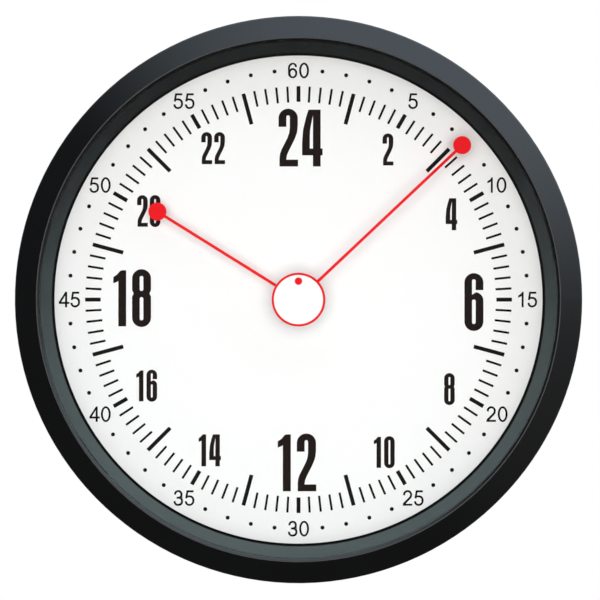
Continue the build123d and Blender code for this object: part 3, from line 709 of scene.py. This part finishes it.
mark_z = cell_high.z / MM + 3.0
plus_x, minus_x = -(cell_high.x / MM - 4.0), -(cell_low.x / MM + 4.0)
thin, arm, arrow_radius = 0.35, 1.5, 8.6
cross = rounded(*[
    (plus_x + a, mark_z + b)
    for a, b in (
        (thin, arm), (-thin, arm), (-thin, thin), (-arm, thin), (-arm, -thin), (-thin, -thin),
        (-thin, -arm), (thin, -arm), (thin, -thin), (arm, -thin), (arm, thin), (thin, thin),
    )
])
marks = [cross, bar(minus_x, mark_z, arm, thin)]
marks += [arrow(knob_x, knob_z, arrow_radius, side * 20, side * 75) for side in (1, -1)]
printed("movement_marks", marks, "wheel_white", "case", box_back, 0.08, behind=True)

# %% Pin marks
pin_radius, under_hanger = 2.3, (0, 92)
pins = [
    oval(*around(angle + 9, distance), pin_radius, pin_radius, 24)
    for angle in range(0, 360, 36) for distance in (58, 92) if (angle, distance) != under_hanger
]
printed("pin_marks", pins, "case_black", "case", panel_back, 0.2, behind=True)

# %% [markdown]
# ## Glass
# The lens is flat glass. Light goes almost straight through it, and about 4 % comes back as a
# mirror image, more at a low angle. A refracting shader would be exact, and slow and noisy over
# a whole dial. Here a clear shader is mixed with a mirror, and Layer Weight says how much.

# %% Glass finish
glass = finishes["glass"] = Finish("glass", Metallic=1.0, Base_Color=(0.93, 0.97, 0.96, 1))
facing = glass.node("ShaderNodeLayerWeight", {}, 0.5, output="Facing")
glass.set(Roughness=glass.between(0.01, 0.03, glass.noise(60)))
clear = glass.node("ShaderNodeBsdfTransparent", {}, (0.992, 0.994, 0.992, 1))
mirror = Signal(glass, glass.shader.outputs[0])
straight_on = 0.04
share = straight_on + (1 - straight_on) * facing ** 5
mixed = glass.node("ShaderNodeMixShader", {}, share, clear, mirror)
glass.feed(glass.tree.nodes["Material Output"].inputs["Surface"], mixed)
print("the glass mirrors", straight_on, "of the light that meets it square")

# %% [markdown]
# ## The circuit board and the cell
# The board is brown paper laminate with copper tracks under its lacquer, which a wave with a
# strong distortion suggests. The cell has a plain grey sleeve with a green band near the end
# with the button, and bare metal at both ends. How far along the cell a point lies says which.

# %% Board
laminate, track = (0.20, 0.10, 0.035), (0.32, 0.17, 0.06)
board = moulded("board", laminate, 0.35, 0.5, 0.004)
wave = board.node(
    "ShaderNodeTexWave", {"bands_direction": "X"}, Vector=board.point, Scale=330.0,
    Distortion=9.0, Detail=1.0,
)
board.set(Base_Color=board.blend(board.smooth(wave, 0.62, 0.7), laminate, track))
print("board ready")

# %% Cell
cell = moulded("cell", (0.02, 0.02, 0.022), 0.26, 0.8, 0.0015)
across = cell.node("ShaderNodeSeparateXYZ", {}, cell.point, output="X")
along = cell.node("ShaderNodeMapRange", {}, across, cell_low.x, cell_high.x)
sleeve = cell.blend(along > 0.78, (0.42, 0.43, 0.44), (0.02, 0.17, 0.10))
metal_ends = cell.smooth(along, 0.965, 0.97) + (1 - cell.smooth(along, 0.012, 0.016))
cell.set(Base_Color=cell.blend(metal_ends, sleeve, (0.7, 0.71, 0.72)), Metallic=metal_ends)
print("cell", round((cell_high.x - cell_low.x) / MM, 1), "mm long;", len(finishes), "finishes")

# %% [markdown]
# ## Dressing the CAD parts
# The record names a material slot for every part, and each of those slots has a finish of the
# same name above. A loop hands them out, so no part can be forgotten.

# %% Hand out the finishes
for part in frame["record"]["subparts"]:
    for slot in nodes[part["node"]].material_slots:
        slot.material = finishes[part["material_slot"]].material

# %% [markdown]
# ## Camera
# The clock is seen square from the front, from 3 m, with a long lens, so that its round rim
# stays round and the recess of the dial barely shows.

# %% Camera
scene = bpy.context.scene
distance, frame_width = 3.0, 0.31724  # metres; the frame is measured in the rim's plane
rim_plane, centre_x, centre_z = 0.0345, 0.000793, -0.00021
eye = bpy.data.objects.new("camera", bpy.data.cameras.new("camera"))
scene.collection.objects.link(eye)
eye.location = (centre_x, -distance, centre_z)
eye.rotation_euler = (pi / 2, 0, 0)
eye.data.sensor_width = 36.0
eye.data.lens = eye.data.sensor_width * (distance - rim_plane) / frame_width
eye.data.clip_end = 50.0
scene.camera = eye
print("lens", round(eye.data.lens, 1), "mm")

# %% [markdown]
# ## Floor and light
# A black rim shows nothing but what it mirrors, so the light here is mostly a matter of what
# the rim sees. A wide soft wall of light in front lights the dial evenly and gives the hands
# their soft shadows. It ends where the rim would start to mirror it. Another soft light above,
# a little to the right, is what the top of the rim shows, and the lower rim sees darkness.
# Straight behind the camera the wall of light has a dim hole, or the glass would mirror it.
#
# All of these lights are parts of the world, drawn with soft steps on the direction in which a
# ray leaves. The floor is close under the clock and would hide the lower half of the front
# light, so only the camera sees the floor.

# %% Floor
floor_size, floor_height = 2.4, -0.36
bpy.ops.object.select_all(action="DESELECT")
bpy.ops.mesh.primitive_plane_add(size=floor_size, location=(0, 0, floor_height))
floor = bpy.context.object
floor.name = "floor"
bpy.ops.object.transform_apply(location=True)
painted("floor_pale", (0.66, 0.62, 0.60), 0.7, cloud=0.01)
floor.data.materials.append(finishes["floor_pale"].material)
floor.visible_glossy = floor.visible_diffuse = floor.visible_shadow = False
print("floor at", floor_height, "m, and", floor_size, "m across")

# %% Where the lights are
world = bpy.data.worlds.new("studio")
world.use_nodes = True
scene.world = world
sky = Graph(world.node_tree)
way = sky.node("ShaderNodeTexCoord", {}, output="Generated")
right, back, up = (sky.node("ShaderNodeSeparateXYZ", {}, way, output=k) for k in range(3))
ahead = back * -1.0
wall = sky.smooth(ahead, 0.70, 0.86) * (1 - 0.995 * sky.smooth(ahead, 0.982, 0.993))
above = sky.smooth(up + 0.45 * right, 0.25, 1.05) * (1 - sky.smooth(back, 0.3, 0.6))
above = above * (1 - sky.smooth(ahead, 0.42, 0.62))
rear = sky.smooth(back, 0.45, 0.75)
behind = rear * (0.45 + 0.75 * sky.smooth(up - 0.3 * right, -0.3, 0.6))
beside = sky.smooth(right, 0.5, 0.95) * (1 - rear)
print("studio has", len(world.node_tree.nodes), "nodes")

# %% [markdown]
# ## How bright they are
# The front light is a little warm and the one above a little cool, which keeps black plastic
# from looking dead. The camera itself sees plain white behind the clock.

# %% Brightness and colour
front_power, rear_power, side_power, top_power, all_round = 3.05, 1.3, 0.2, 2.15, 0.025
strength = wall * front_power + behind * rear_power + beside * side_power + all_round
warm = sky.node("ShaderNodeBackground", {}, (1, 0.985, 0.972, 1), strength)
cool = sky.node("ShaderNodeBackground", {}, (0.80, 0.95, 1.08, 1), above * top_power)
lit = sky.node("ShaderNodeAddShader", {}, warm, cool)
white = sky.node("ShaderNodeBackground", {}, (1, 1, 1, 1), 1.0)
seen = sky.node("ShaderNodeLightPath", {}, output="Is Camera Ray")
both = sky.node("ShaderNodeMixShader", {}, seen, lit, white)
sky.feed(world.node_tree.nodes["World Output"].inputs["Surface"], both)
scene.view_settings.view_transform = "Standard"
print("studio lit")
